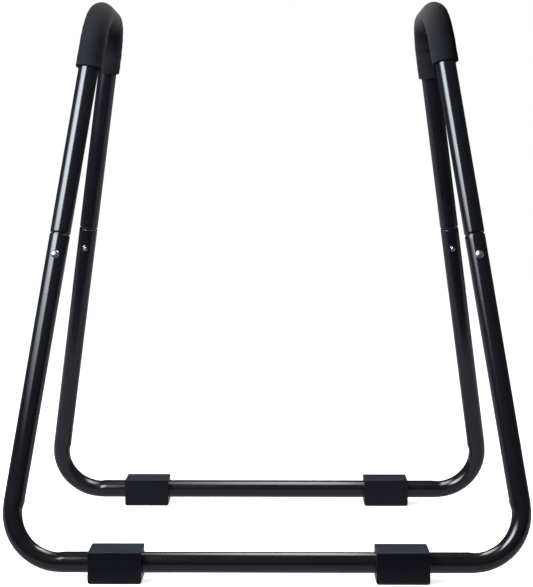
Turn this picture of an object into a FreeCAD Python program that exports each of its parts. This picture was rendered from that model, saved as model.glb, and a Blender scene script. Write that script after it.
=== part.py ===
import FreeCAD, Part
import math
import os
import re

import Sketcher
from FreeCAD import Matrix, Placement, Rotation, Vector

# Free-standing support stand: two leaning U-shaped base tubes, two inverted-U handles
# plugged and bolted into their legs, foam grips, and rubber feet on the crossbars.
# Millimetres. +Z is up, -Y is the front, the origin is on the floor under the centre.

SIZES = {
    # tubes
    "tube_diameter": 32.0,
    "tube_wall": 1.5,
    "rim_round": 1.2,           # rounding of a base leg's open end, outside
    # base frames
    "base_width": 802.0,        # between the points where a crossbar's and its legs' axes meet
    "bar_spacing": 553.0,       # front crossbar axis to rear crossbar axis
    "bar_height": 27.0,         # crossbar axis above the floor
    "leg_rise": 505.0,          # crossbar axis to a leg's open end, in the plane of the frame
    "leg_lean": 8.6,            # degrees a leg leans towards the other leg of its frame
    "frame_lean": 11.4,         # degrees a frame leans towards the other frame
    "base_bend": 75.0,          # bend radius of the tube's axis
    # handles
    "handle_height": 876.0,     # top of the handle's axis above the floor
    "handle_bend": 66.0,
    "shoulder_length": 3.5,     # swaged step from full diameter to the spigot
    "joint_gap": 1.5,           # neck left in view between the shoulder and the leg's end
    "spigot_length": 80.0,      # length inside the base leg
    "spigot_clearance": 0.1,    # radial, spigot in leg
    # foam grips
    "grip_wall": 5.0,
    "grip_round": 3.0,
    "grip_clearance": 0.1,      # radial, foam on tube
    "grip_leg": 34.0,           # straight length of foam below each bend, before the offset
    "left_grip_offset": 6.0,    # the left sleeve sits this much towards the front
    "right_grip_offset": 3.0,   # the right sleeve sits this much towards the rear
    # feet
    "foot_length": 81.0,
    "foot_depth": 62.0,
    "foot_top": 22.0,           # top face above the crossbar's axis
    "foot_bore_clearance": 0.06,
    "foot_chamfer": 3.0,        # lower edges
    "foot_round": 1.2,          # upper edges
    "front_left_inset": 44.3,   # foot's outer end face to the start of the bar's bend
    "front_right_inset": 67.3,
    "rear_left_inset": 44.3,
    "rear_right_inset": 54.3,
    # bolted joints
    "bolt_drop": 33.0,          # bolt axis below the leg's open end, along the leg
    "bolt_diameter": 6.0,
    "bolt_clearance": 0.3,      # radial, bolt in tube and washer
    "thread_clearance": 0.05,   # radial, bolt in nut
    "bolt_end": 1.8,            # bolt's tip beyond the nut
    "tip_chamfer": 0.75,
    "head_diameter": 13.0,
    "head_height": 3.8,
    "head_rim": 0.8,
    "neck_width": 6.4,          # square under the head, which stops the bolt turning
    "neck_clearance": 0.15,     # per side, square neck in its hole
    "washer_diameter": 12.0,
    "washer_thickness": 1.2,    # at the crown of the tube
    "nut_flats": 10.0,
    "nut_height": 5.0,
    "nut_face": 9.5,            # diameter of the outer face, inside the chamfered corners
    "nut_chamfer": 30.0,        # degrees, corners of the outer face
}

doc = FreeCAD.newDocument("support_stand")
sheet = doc.addObject("Spreadsheet::Sheet", "Sizes")
for row, (alias, number) in enumerate(SIZES.items(), start=1):
    sheet.set(f"A{row}", alias)
    sheet.set(f"B{row}", str(number))
    sheet.setAlias(f"B{row}", alias)
doc.recompute()

# ---------------------------------------------------------------- layout
# Each rule is an expression on the sheet's names, used both for binding and for placing.

LEG_LENGTH = "(leg_rise / cos(leg_lean))"
# a handle lies in the plane that holds the front and the rear leg of its side
HANDLE_TILT = "atan(tan(leg_lean) / cos(frame_lean))"
HANDLE_SPREAD = "asin(cos(leg_lean) * sin(frame_lean))"
HANDLE_TOP = f"((handle_height - bar_height) / cos({HANDLE_TILT}))"
BEND_TANGENT = f"(handle_bend * tan((90 deg - {HANDLE_SPREAD}) / 2))"
SHOULDER_TOP = f"({LEG_LENGTH} + joint_gap + shoulder_length)"
TUBE_BORE = "(tube_diameter / 2 - tube_wall)"
SPIGOT_RADIUS = f"({TUBE_BORE} - spigot_clearance)"
STRAIGHT_RUN = "(base_width / 2 - base_bend * tan((90 + leg_lean) / 2))"

HALF_TURN = Placement(Vector(0, 0, 0), Rotation(Vector(0, 0, 1), 180))
ENDS = ("front", "rear")
SIDES = ("left", "right")
EDGE_MATCH = 0.01  # mm, how closely an edge's size and place are matched when it is looked up


def sheet_text(expression):
    """Writes each of the sheet's names in an expression as a reference to the sheet."""
    return re.sub("[a-z_]+", lambda m: f"Sizes.{m[0]}" if m[0] in SIZES else m[0], expression)


def value(expression):
    found = sheet.evalExpression(sheet_text(expression))
    return float(getattr(found, "Value", found))


def leg_point(along):
    """Place in a handle's plane of a point at a distance along a leg from the crossbar."""
    across = f"(bar_spacing / 2 - {along} * sin({HANDLE_SPREAD}))"
    height = f"({along} * cos({HANDLE_SPREAD}))"
    return across, height


def base_placement(end):
    """Frame with X along the crossbar and Z up the plane of the legs."""
    lean = Rotation(Vector(1, 0, 0), -value("frame_lean"))
    front = Placement(Vector(0, -value("bar_spacing / 2"), value("bar_height")), lean)
    return front if end == "front" else HALF_TURN * front


def handle_placement(side):
    """Frame with Z up the plane of the handle; X points to the rear on the right handle."""
    tilt = math.radians(value(HANDLE_TILT))
    along = Vector(0, 1, 0)
    up = Vector(-math.sin(tilt), 0, math.cos(tilt))
    normal = up.cross(along)
    right = Placement(Matrix(
        along.x, normal.x, up.x, value("base_width / 2"),
        along.y, normal.y, up.y, 0,
        along.z, normal.z, up.z, value("bar_height"),
    ))
    return right if side == "right" else HALF_TURN * right


def bolt_placement(end, side):
    """Frame on a bolt's axis where it crosses the leg's axis; Z points out of the stand."""
    # the rear frame is turned half round, so its own +X side is the left of the stand
    own_side = 1 if (side == "right") == (end == "front") else -1
    along = value(f"{LEG_LENGTH} - bolt_drop")
    lean = value("leg_lean")
    place = Vector(
        own_side * (value("base_width / 2") - along * math.sin(math.radians(lean))),
        0,
        along * math.cos(math.radians(lean)),
    )
    turn = Rotation(Vector(0, 1, 0), -own_side * lean) * Rotation(Vector(1, 0, 0), 90)
    return base_placement(end) * Placement(place, turn)


def spigot_placement(end, side):
    """Frame in the handle's own plane, at a base leg's open end, with Z up the leg."""
    towards_rear = 1 if (end == "rear") == (side == "right") else -1
    across, height = leg_point(LEG_LENGTH)
    place = Vector(towards_rear * value(across), 0, value(height))
    return Placement(place, Rotation(Vector(0, 1, 0), -towards_rear * value(HANDLE_SPREAD)))


# ---------------------------------------------------------------- sketches


def new_body(name):
    return doc.addObject("PartDesign::Body", name)


def new_sketch(body, name, plane):
    sketch = body.newObject("Sketcher::SketchObject", f"{body.Name}_{name}")
    for feature in body.Origin.OriginFeatures:
        if feature.Role == plane:
            sketch.AttachmentSupport = [(feature, "")]
    sketch.MapMode = "FlatFace"
    return sketch


def bind(sketch, kind, where, expression):
    """Adds a dimension to a sketch and ties it to the sheet."""
    index = sketch.addConstraint(Sketcher.Constraint(kind, *where, value(expression)))
    name = f"size_{index}"
    sketch.renameConstraint(index, name)
    sketch.setExpression(f"Constraints.{name}", sheet_text(expression))


ORIGIN = (-1, 1)
X_AXIS = -1
Y_AXIS = -2
START, END, CENTRE = 1, 2, 3


def pin_point(sketch, point, x_rule=None, y_rule=None):
    """Ties a point of a sketch to the origin by one or two expressions of either sign."""
    for kind, axis, rule in (("DistanceX", Y_AXIS, x_rule), ("DistanceY", X_AXIS, y_rule)):
        if rule is None:
            continue
        number = value(rule)
        if number == 0:
            sketch.addConstraint(Sketcher.Constraint("PointOnObject", *point, axis))
        elif number > 0:
            bind(sketch, kind, (*ORIGIN, *point), rule)
        else:
            bind(sketch, kind, (*point, *ORIGIN), f"-({rule})")


def outline(body, name, plane, corners, domed_edge=None, level_edge=None):
    """Closed outline whose corners are pairs of expressions.

    domed_edge is an arc with its centre on the sketch's Y axis; level_edge is an arc with
    its centre level with the arc's own first corner.
    """
    sketch = new_sketch(body, name, plane)
    points = [Vector(value(x), value(y), 0) for x, y in corners]
    for index, first in enumerate(points):
        second = points[(index + 1) % len(points)]
        if index == domed_edge:
            # the first corner is on the axis, so the rise and the half chord give the radius
            rise = first.y - second.y
            radius = (second.x ** 2 + rise ** 2) / (2 * rise)
            centre = Vector(0, first.y - radius, 0)
        elif index == level_edge:
            step, drop = first.x - second.x, first.y - second.y
            radius = (step ** 2 + drop ** 2) / (2 * step)
            centre = Vector(first.x - radius, first.y, 0)
        else:
            sketch.addGeometry(Part.LineSegment(first, second), False)
            continue
        turn = math.atan2(first.y - centre.y, first.x - centre.x)
        turn_end = math.atan2(second.y - centre.y, second.x - centre.x)
        circle = Part.Circle(centre, Vector(0, 0, 1), radius)
        sketch.addGeometry(Part.ArcOfCircle(circle, turn_end, turn), False)
    for index in range(len(points)):
        following = (index + 1) % len(points)
        # arcs are drawn the other way round, so their first corner is their end
        last = START if index in (domed_edge, level_edge) else END
        first = END if following in (domed_edge, level_edge) else START
        sketch.addConstraint(Sketcher.Constraint("Coincident", index, last, following, first))
        own = END if index in (domed_edge, level_edge) else START
        pin_point(sketch, (index, own), *corners[index])
    if domed_edge is not None:
        sketch.addConstraint(Sketcher.Constraint("PointOnObject", domed_edge, CENTRE, Y_AXIS))
    if level_edge is not None:
        sketch.addConstraint(
            Sketcher.Constraint("Horizontal", level_edge, CENTRE, level_edge, END)
        )
    return sketch


def ring(body, name, height, radii):
    """Circles round a point on the body's Z axis, in the plane X = 0."""
    sketch = new_sketch(body, name, "YZ_Plane")
    centre = Vector(0, value(height), 0)
    for index, radius in enumerate(radii):
        sketch.addGeometry(Part.Circle(centre, Vector(0, 0, 1), value(radius)), False)
        bind(sketch, "Radius", (index,), radius)
        if index:
            sketch.addConstraint(Sketcher.Constraint("Coincident", 0, CENTRE, index, CENTRE))
    pin_point(sketch, (0, CENTRE), "0", height)
    return sketch


def bent_path(body, name, side, run_height, corner_across, leg_end, bend):
    """Half of a bent tube's axis: a level run from the Z axis, a bend and a straight leg.

    The run and the leg would meet at corner_across. side is 1 towards +X or -1 towards -X.
    """
    sketch = new_sketch(body, name, "XZ_Plane")
    start = Vector(0, value(run_height), 0)
    corner = Vector(side * value(corner_across), value(run_height), 0)
    end = Vector(side * value(leg_end[0]), value(leg_end[1]), 0)
    run = (corner - start).normalize()
    leg = (end - corner).normalize()
    turn = run.getAngle(leg)
    radius = value(bend)
    bend_start = corner - run * radius * math.tan(turn / 2)
    bend_end = corner + leg * radius * math.tan(turn / 2)
    centre = bend_start + Vector(0, math.copysign(radius, leg.y), 0)
    # a sketch draws every arc anticlockwise about its centre
    arc_starts_at_run = (leg.y > 0) == (side > 0)
    arc_ends = (bend_start, bend_end) if arc_starts_at_run else (bend_end, bend_start)
    turns = [math.atan2(point.y - centre.y, point.x - centre.x) for point in arc_ends]
    circle = Part.Circle(centre, Vector(0, 0, 1), radius)
    sketch.addGeometry(Part.LineSegment(start, bend_start), False)
    sketch.addGeometry(Part.ArcOfCircle(circle, *turns), False)
    sketch.addGeometry(Part.LineSegment(bend_end, end), False)
    sketch.addGeometry(Part.LineSegment(corner, end), True)
    arc_first, arc_last = (START, END) if arc_starts_at_run else (END, START)
    for constraint in (
        Sketcher.Constraint("Horizontal", 0),
        Sketcher.Constraint("Tangent", 0, END, 1, arc_first),
        Sketcher.Constraint("Tangent", 1, arc_last, 2, START),
        Sketcher.Constraint("Coincident", 2, END, 3, END),
        Sketcher.Constraint("PointOnObject", 2, START, 3),
        Sketcher.Constraint("PointOnObject", 3, START, 0),
    ):
        sketch.addConstraint(constraint)
    bind(sketch, "Radius", (1,), bend)
    pin_point(sketch, (0, START), "0", run_height)
    pin_point(sketch, (3, START), f"{side} * {corner_across}")
    pin_point(sketch, (3, END), f"{side} * {leg_end[0]}", leg_end[1])
    return sketch


# ---------------------------------------------------------------- features


def pipe(body, name, profile, path):
    feature = body.newObject("PartDesign::AdditivePipe", f"{body.Name}_{name}")
    feature.Profile = profile
    feature.Spine = path
    doc.recompute()
    return feature


def mirror(body, original):
    feature = body.newObject("PartDesign::Mirrored", f"{body.Name}_mirror")
    feature.Originals = [original]
    for plane in body.Origin.OriginFeatures:
        if plane.Role == "YZ_Plane":
            feature.MirrorPlane = (plane, [""])
    body.Tip = feature
    doc.recompute()
    return feature


def dress(body, kind, base, rule, test):
    """Fillets or chamfers the edges of base that pass the test."""
    edges = []
    for index, edge in enumerate(base.Shape.Edges, start=1):
        if test(edge):
            edges.append(f"Edge{index}")
    feature = body.newObject(f"PartDesign::{kind}", f"{body.Name}_{kind.lower()}")
    feature.Base = (base, edges)
    key = "Radius" if kind == "Fillet" else "Size"
    setattr(feature, key, value(rule))
    feature.setExpression(key, sheet_text(rule))
    body.Tip = feature
    doc.recompute()
    return feature


def primitive(kind, name, place=Placement(), **rules):
    """Part primitive whose properties are expressions on the sheet."""
    shape = doc.addObject(f"Part::{kind}", name)
    shape.Placement = place
    for key, rule in rules.items():
        key = key.replace("_", ".")
        shape.setExpression(key, sheet_text(rule))
    return shape


def join(kind, name, first, *others):
    """Boolean of two or more objects: Cut takes all the others from the first."""
    tool = others[0]
    if len(others) > 1:
        tool = doc.addObject("Part::MultiFuse", f"{name}_tools")
        tool.Shapes = list(others)
    result = doc.addObject(f"Part::{kind}", name)
    if kind == "MultiFuse":
        result.Shapes = [first, *others]
    else:
        result.Base = first
        result.Tool = tool
    return result


nodes = []


def finish_node(result, name, place):
    result.Label = name
    result.Placement = place
    nodes.append(result)


# ---------------------------------------------------------------- bolt holes


def bolt_holes(name, frame, bolts, neck):
    """Cutters for the bolts of a tube, in the tube's own frame."""
    cutters = []
    for number, (end, side) in enumerate(bolts):
        place = frame.inverse() * bolt_placement(end, side)
        through = place * Placement(Vector(0, 0, -value("tube_diameter")), Rotation())
        cutters.append(primitive(
            "Cylinder", f"{name}_hole_{number}", through,
            Radius="bolt_diameter / 2 + bolt_clearance", Height="2 * tube_diameter",
        ))
        if neck:
            side_length = "neck_width + 2 * neck_clearance"
            half = value(side_length) / 2
            corner = place * Placement(Vector(-half, -half, value(TUBE_BORE) / 2), Rotation())
            cutters.append(primitive(
                "Box", f"{name}_square_{number}", corner,
                Length=side_length, Width=side_length, Height="tube_diameter",
            ))
    return cutters


# ---------------------------------------------------------------- base tubes


def base_tube(end):
    name = f"{end}_base_tube"
    body = new_body(f"{name}_bent")
    path = bent_path(
        body, "axis", 1, "0", "(base_width / 2)",
        ("(base_width / 2 - leg_rise * tan(leg_lean))", "leg_rise"), "base_bend",
    )
    section = ring(body, "section", "0", ("tube_diameter / 2", TUBE_BORE))
    tube = mirror(body, pipe(body, "half", section, path))
    leg_top = value("leg_rise")
    outer = value("tube_diameter / 2")

    def open_rim(edge):
        curve = edge.Curve
        is_circle = isinstance(curve, Part.Circle) and abs(curve.Radius - outer) < EDGE_MATCH
        return is_circle and abs(curve.Center.z - leg_top) < EDGE_MATCH

    dress(body, "Fillet", tube, "rim_round", open_rim)
    frame = base_placement(end)
    bolts = [(end, side) for side in SIDES]
    finish_node(join("Cut", name, body, *bolt_holes(name, frame, bolts, True)), name, frame)


# ---------------------------------------------------------------- handles


def spigot(name, place):
    """Swaged end of a handle leg: a rounded step down, then a sleeve that enters the base leg."""
    body = new_body(name)
    top = "(joint_gap + shoulder_length)"
    profile = outline(
        body, "profile", "XZ_Plane",
        (
            ("tube_diameter / 2", top),
            (SPIGOT_RADIUS, "joint_gap"),
            (SPIGOT_RADIUS, "-spigot_length"),
            (f"{SPIGOT_RADIUS} - tube_wall", "-spigot_length"),
            (f"{SPIGOT_RADIUS} - tube_wall", "joint_gap"),
            (TUBE_BORE, top),
        ),
        level_edge=0,
    )
    turned = body.newObject("PartDesign::Revolution", f"{name}_turned")
    turned.Profile = profile
    turned.ReferenceAxis = (profile, ["V_Axis"])
    turned.Angle = 360
    body.Placement = place
    return body


def handle_path(body, name, side, along):
    """Half of a handle's axis, as far as a distance along the leg from the crossbar."""
    corner, _ = leg_point(f"({HANDLE_TOP} / cos({HANDLE_SPREAD}))")
    return bent_path(body, name, side, HANDLE_TOP, corner, leg_point(along), "handle_bend")


def handle_tube(side):
    name = f"{side}_handle_tube"
    body = new_body(f"{name}_bent")
    path = handle_path(body, "axis", 1, SHOULDER_TOP)
    section = ring(body, "section", HANDLE_TOP, ("tube_diameter / 2", TUBE_BORE))
    mirror(body, pipe(body, "half", section, path))
    spigots = [spigot(f"{name}_{end}_spigot", spigot_placement(end, side)) for end in ENDS]
    whole = join("MultiFuse", f"{name}_whole", body, *spigots)
    frame = handle_placement(side)
    bolts = [(end, side) for end in ENDS]
    finish_node(join("Cut", name, whole, *bolt_holes(name, frame, bolts, False)), name, frame)


# ---------------------------------------------------------------- foam grips


def foam_grip(side, offset):
    """Foam sleeve over a handle's arch, moved along the tube by the offset towards +X."""
    name = f"{side}_foam_grip"
    body = new_body(name)
    section = ring(
        body, "section", HANDLE_TOP,
        ("tube_diameter / 2 + grip_wall", "tube_diameter / 2 + grip_clearance"),
    )
    bend_end = f"{HANDLE_TOP} / cos({HANDLE_SPREAD}) - {BEND_TANGENT}"
    for direction, tag in ((1, "plus"), (-1, "minus")):
        along = f"({bend_end} - grip_leg - {direction} * {offset})"
        path = handle_path(body, f"axis_{tag}", direction, along)
        sleeve = pipe(body, f"sleeve_{tag}", section, path)
    outer = value("tube_diameter / 2 + grip_wall")
    highest_end = value(HANDLE_TOP) - value("handle_bend")

    def sleeve_end(edge):
        curve = edge.Curve
        is_circle = isinstance(curve, Part.Circle) and abs(curve.Radius - outer) < EDGE_MATCH
        return is_circle and curve.Center.z < highest_end and edge.isClosed()

    dress(body, "Fillet", sleeve, "grip_round", sleeve_end)
    finish_node(body, name, handle_placement(side))


# ---------------------------------------------------------------- feet


def foot(end, side):
    """Rubber block that the crossbar passes through, near its top."""
    name = f"{end}_{side}_foot"
    body = new_body(name)
    corners = (
        ("foot_length / 2", "foot_top"),
        ("-foot_length / 2", "foot_top"),
        ("-foot_length / 2", "-bar_height"),
        ("foot_length / 2", "-bar_height"),
    )
    block = body.newObject("PartDesign::Pad", f"{name}_block")
    block.Profile = outline(body, "front", "XZ_Plane", corners)
    block.Midplane = True
    block.setExpression("Length", sheet_text("foot_depth"))
    doc.recompute()
    floor = -value("bar_height")

    def is_floor_edge(edge):
        return all(abs(vertex.Z - floor) < EDGE_MATCH for vertex in edge.Vertexes)

    chamfered = dress(body, "Chamfer", block, "foot_chamfer", is_floor_edge)
    floor_side = floor + value("foot_chamfer") + EDGE_MATCH

    def is_upper_edge(edge):
        return all(vertex.Z > floor for vertex in edge.Vertexes) and any(
            vertex.Z > floor_side for vertex in edge.Vertexes
        )

    dress(body, "Fillet", chamfered, "foot_round", is_upper_edge)
    bore = body.newObject("PartDesign::Pocket", f"{name}_bore")
    bore.Profile = ring(body, "bore_circle", "0", ("tube_diameter / 2 + foot_bore_clearance",))
    bore.Type = "ThroughAll"
    bore.Midplane = True
    body.Tip = bore
    sideways = 1 if side == "right" else -1
    forwards = -1 if end == "front" else 1
    place = Vector(
        sideways * value(f"{STRAIGHT_RUN} - {end}_{side}_inset - foot_length / 2"),
        forwards * value("bar_spacing / 2"),
        value("bar_height"),
    )
    finish_node(body, name, Placement(place, Rotation()))


# ---------------------------------------------------------------- bolted joints


def joint_bolt(end, side):
    """Dome-head bolt with a square neck, on the leg's outer face."""
    name = f"{end}_{side}_joint_bolt"
    body = new_body(name)
    seat = "tube_diameter / 2"
    tip = "-(tube_diameter / 2 + washer_thickness + nut_height + bolt_end)"
    corners = (
        ("0", f"{seat} + head_height"),
        ("head_diameter / 2", f"{seat} + head_rim"),
        ("head_diameter / 2", seat),
        ("bolt_diameter / 2", seat),
        ("bolt_diameter / 2", f"{tip} + tip_chamfer"),
        ("bolt_diameter / 2 - tip_chamfer", tip),
        ("0", tip),
    )
    turned = body.newObject("PartDesign::Revolution", f"{name}_turned")
    profile = outline(body, "profile", "XZ_Plane", corners, domed_edge=0)
    turned.Profile = profile
    turned.ReferenceAxis = (profile, ["V_Axis"])
    turned.Angle = 360
    doc.recompute()
    square = (
        ("neck_width / 2", seat),
        ("-neck_width / 2", seat),
        ("-neck_width / 2", TUBE_BORE),
        ("neck_width / 2", TUBE_BORE),
    )
    neck = body.newObject("PartDesign::Pad", f"{name}_neck")
    neck.Profile = outline(body, "neck", "XZ_Plane", square)
    neck.Midplane = True
    neck.setExpression("Length", sheet_text("neck_width"))
    body.Tip = neck
    finish_node(body, name, bolt_placement(end, side))


def joint_washer(end, side):
    """Saddle washer: flat under the nut and hollowed to fit the tube."""
    name = f"{end}_{side}_joint_washer"
    disc = primitive(
        "Cylinder", f"{name}_disc", Radius="washer_diameter / 2",
        Height="tube_diameter / 2 + washer_thickness",
        Placement_Base_z="-(tube_diameter / 2 + washer_thickness)",
    )
    along_leg = Placement(Vector(0, value("tube_diameter"), 0), Rotation(Vector(1, 0, 0), 90))
    tube = primitive(
        "Cylinder", f"{name}_tube", along_leg,
        Radius="tube_diameter / 2", Height="2 * tube_diameter",
    )
    hole = primitive(
        "Cylinder", f"{name}_hole", Radius="bolt_diameter / 2 + bolt_clearance",
        Height="2 * tube_diameter", Placement_Base_z="-2 * tube_diameter",
    )
    finish_node(join("Cut", name, disc, tube, hole), name, bolt_placement(end, side))


def joint_nut(end, side):
    """Hexagon nut, its outer corners chamfered."""
    name = f"{end}_{side}_joint_nut"
    outer_face = "-(tube_diameter / 2 + washer_thickness + nut_height)"
    prism = primitive(
        "Prism", f"{name}_prism", Circumradius="nut_flats / 2 / cos(30)",
        Height="nut_height", Placement_Base_z=outer_face,
    )
    prism.Polygon = 6
    cone = primitive(
        "Cone", f"{name}_cone", Radius1="nut_face / 2",
        Radius2="nut_face / 2 + nut_height / tan(nut_chamfer)",
        Height="nut_height", Placement_Base_z=outer_face,
    )
    hexagon = join("Common", f"{name}_hexagon", prism, cone)
    hole = primitive(
        "Cylinder", f"{name}_hole", Radius="bolt_diameter / 2 + thread_clearance",
        Height="2 * tube_diameter", Placement_Base_z="-2 * tube_diameter",
    )
    finish_node(join("Cut", name, hexagon, hole), name, bolt_placement(end, side))


# ---------------------------------------------------------------- the stand

for end in ENDS:
    base_tube(end)
for side in SIDES:
    handle_tube(side)
    foam_grip(side, f"{side}_grip_offset")
for end in ENDS:
    for side in SIDES:
        foot(end, side)
        joint_bolt(end, side)
        joint_washer(end, side)
        joint_nut(end, side)
doc.recompute()

for item in doc.Objects:
    if "Invalid" in item.State or "Error" in item.State:
        raise RuntimeError(f"{item.Name} failed: {item.State}")
os.makedirs("parts", exist_ok=True)
for node in nodes:
    if node.Shape.isNull() or not node.Shape.isValid() or len(node.Shape.Solids) != 1:
        raise RuntimeError(f"{node.Label} isn't one valid solid")
    node.Shape.exportStep(f"parts/{node.Label}.step")
    box = node.Shape.BoundBox
    print(
        f"{node.Label:26s} {node.Shape.Volume / 1000:9.2f} cm3 "
        f"x {box.XMin:.1f}..{box.XMax:.1f} y {box.YMin:.1f}..{box.YMax:.1f} "
        f"z {box.ZMin:.1f}..{box.ZMax:.1f}"
    )
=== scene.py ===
import math

import bpy
import numpy as np
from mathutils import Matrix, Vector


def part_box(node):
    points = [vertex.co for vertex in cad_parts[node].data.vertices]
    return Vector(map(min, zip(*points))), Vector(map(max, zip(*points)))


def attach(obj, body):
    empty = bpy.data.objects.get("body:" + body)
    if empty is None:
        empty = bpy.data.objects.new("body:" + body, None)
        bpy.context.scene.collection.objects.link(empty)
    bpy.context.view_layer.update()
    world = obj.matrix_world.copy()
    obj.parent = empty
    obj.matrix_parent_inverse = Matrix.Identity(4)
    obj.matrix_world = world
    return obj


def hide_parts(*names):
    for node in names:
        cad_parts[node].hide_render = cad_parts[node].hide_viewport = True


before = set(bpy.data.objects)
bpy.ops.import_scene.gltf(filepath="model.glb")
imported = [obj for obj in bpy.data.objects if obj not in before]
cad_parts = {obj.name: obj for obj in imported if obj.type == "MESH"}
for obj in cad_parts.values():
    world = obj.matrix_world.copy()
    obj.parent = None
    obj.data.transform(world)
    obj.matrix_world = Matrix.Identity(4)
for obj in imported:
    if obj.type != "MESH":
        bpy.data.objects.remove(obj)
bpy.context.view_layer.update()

# ---------------------------------------------------------------- sizes, metres and radians

MM = 0.001
TUBE_R = 16 * MM
BORE_R = 14.5 * MM
RIM_ROUND = 1.2 * MM         # a base leg's open end, outside
RIM_INNER = 0.25 * MM        # and inside
BASE_BEND = 75 * MM
LEG_RISE = 505 * MM
LEG_LEAN = math.radians(8.6)
FRAME_LEAN = math.radians(11.4)
HANDLE_BEND = 66 * MM
SPIGOT_R = 14.4 * MM
SPIGOT_BORE = 12.9 * MM
SPIGOT_LENGTH = 80 * MM
SPIGOT_EDGE = 0.5 * MM
SPIGOT_MARK = 30 * MM        # places of mesh rings: from the end, and twice before the shoulder
SPIGOT_TOP_MARKS = (3 * MM, 0.3 * MM)
JOINT_GAP = 1.5 * MM
SHOULDER = 3.5 * MM
SHOULDER_ROUND = 0.4         # share of the shoulder's length that follows a quarter circle

CREASE_INSIDE = 1.4 * MM     # how far a base bend's inner side is drawn in
CREASE_OUTSIDE = 0.5 * MM
CREASE_RUN = 12 * MM         # length of the step at the leg's end of a bend
CREASE_RUN_BAR = 15 * MM
SWELL = 0.35 * MM            # of the leg, just above the step
SWELL_FROM_BEND = 7 * MM
SWELL_LENGTH = 4 * MM

GRIP_R = 21 * MM
GRIP_BORE = 16.1 * MM
GRIP_ROUND = 1.6 * MM
GRIP_EDGE = 0.5 * MM         # rounding where the sleeve's bore opens
GRIP_LEG = 34 * MM
GRIP_OFFSET = {"left": -6 * MM, "right": 3 * MM}    # of the sleeve along the tube, to the rear
GRIP_SEED = {"left": 7, "right": 11}
GRIP_WAVES = 10
GRIP_WAVES_ALONG = (20, 90)  # in a metre
GRIP_WAVES_ROUND = (1, 5)
GRIP_WAVE_DEPTH = 0.05 * MM
GRIP_PHASES = (0, 6.28)
TURN = 6.283
GRIP_WRINKLES = 9            # on the inside of each bend
WRINKLE_PLACES = (-0.9, 0.9)    # in half lengths of the bend, from its middle
WRINKLE_WIDTHS = (2.2, 3.4)     # mm
WRINKLE_DEPTHS = (0.18, 0.42)   # mm
GRIP_PINCH = 0.035           # share of the radius lost on the inside of a bend
GRIP_PINCH_RUN = 8 * MM
GRIP_SMOOTH = 0.4 * MM       # rings this close to the bore stay round
GRIP_PROUD = 0.2 * MM        # most that the waves stand out

FOOT_BORE = 16.25 * MM       # room to slide over the tube
FOOT_MOUTH = 0.8 * MM        # rounding where the bore opens
FOOT_ROUND = 1.2 * MM
FOOT_EDGE = 0.5 * MM         # softening of the chamfers' edges
FOOT_CHAMFER = 3 * MM
FOOT_LIFT = 0.9              # slope of the chamfer at the ends' lower edges
FOOT_DIVISIONS = (1, 2, 18, 24, 18, 2)    # of the sides of its section
FOOT_STATIONS = 9            # sections along half of it, besides those at its edges
FOOT_DISH = 0.7 * MM         # sink of the top face
DISH_END = 4 * MM            # flat margin of the top face at its ends
DISH_SIDE = 3 * MM
DISH_FADE = 0.3
TREAD_DEPTH = 1.2 * MM
TREAD_WIDTH = 3 * MM
TREAD_PLACES = (-18 * MM, -6 * MM, 6 * MM, 18 * MM)
TREAD_SHAPE = ((-1, 0), (-0.5, 0), (-0.4, 1), (0, 1), (0.4, 1), (0.5, 0), (1, 0))    # shift in widths, depth
TREAD_MARGIN = 22.5 * MM     # from the middle to the end of the tread, across the foot
TREAD_END = 6 * MM           # from the foot's ends
TREAD_FADE = 0.5 * MM

BOLT_DROP = 33 * MM          # below the leg's open end
BOLT_R = 3 * MM
BOLT_TIP = -24 * MM          # along the bolt's axis; 0 is the leg's axis and outwards is positive
BOLT_CHAMFER = 0.75 * MM
BOLT_EDGE = 0.1 * MM
BOLT_TIP_RING = 1.2 * MM
THREAD_PITCH = 1 * MM
THREAD_DEPTH = 0.5 * MM
THREAD_START = 0.3 * MM      # from the tip
THREAD_TOP = -12 * MM
THREAD_RINGS = 8             # in one turn
HEAD_R = 6.5 * MM
HEAD_RIM = 0.8 * MM
HEAD_DOME = 3 * MM
HEAD_EDGE = 0.15 * MM
HEAD_BREAK = 0.2 * MM        # from the rim's upper ring to the dome
DOME_RINGS = 14
DOME_CROWDING = 1.15         # brings the rings closer together at the rim
DOME_SHARE = 0.992           # of the head's radius
NECK_HALF = 3.2 * MM
NECK_CORNER = 1.32           # greatest radius of the square neck, in half widths
WASHER_R = 6 * MM
WASHER_BORE = 3.3 * MM
WASHER_FACE = -17.2 * MM
WASHER_EDGE = 0.3 * MM
WASHER_LIFT = 0.02 * MM      # off the tube
NUT_HALF = 5 * MM            # half the width across flats
NUT_CORNER = 1.143           # greatest radius, in half widths
NUT_FACE = -22.2 * MM
NUT_FACE_R = 4.75 * MM
NUT_FACE_EDGE = 0.1 * MM
NUT_BORE = 3.05 * MM
NUT_SINK = 0.4 * MM          # countersink of its hole
NUT_CHAMFER = math.radians(30)
NUT_CHAMFER_RINGS = (0.0, 0.05, 0.12, 0.2, 0.3, 0.4, 0.5, 0.6)    # heights, mm

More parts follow.
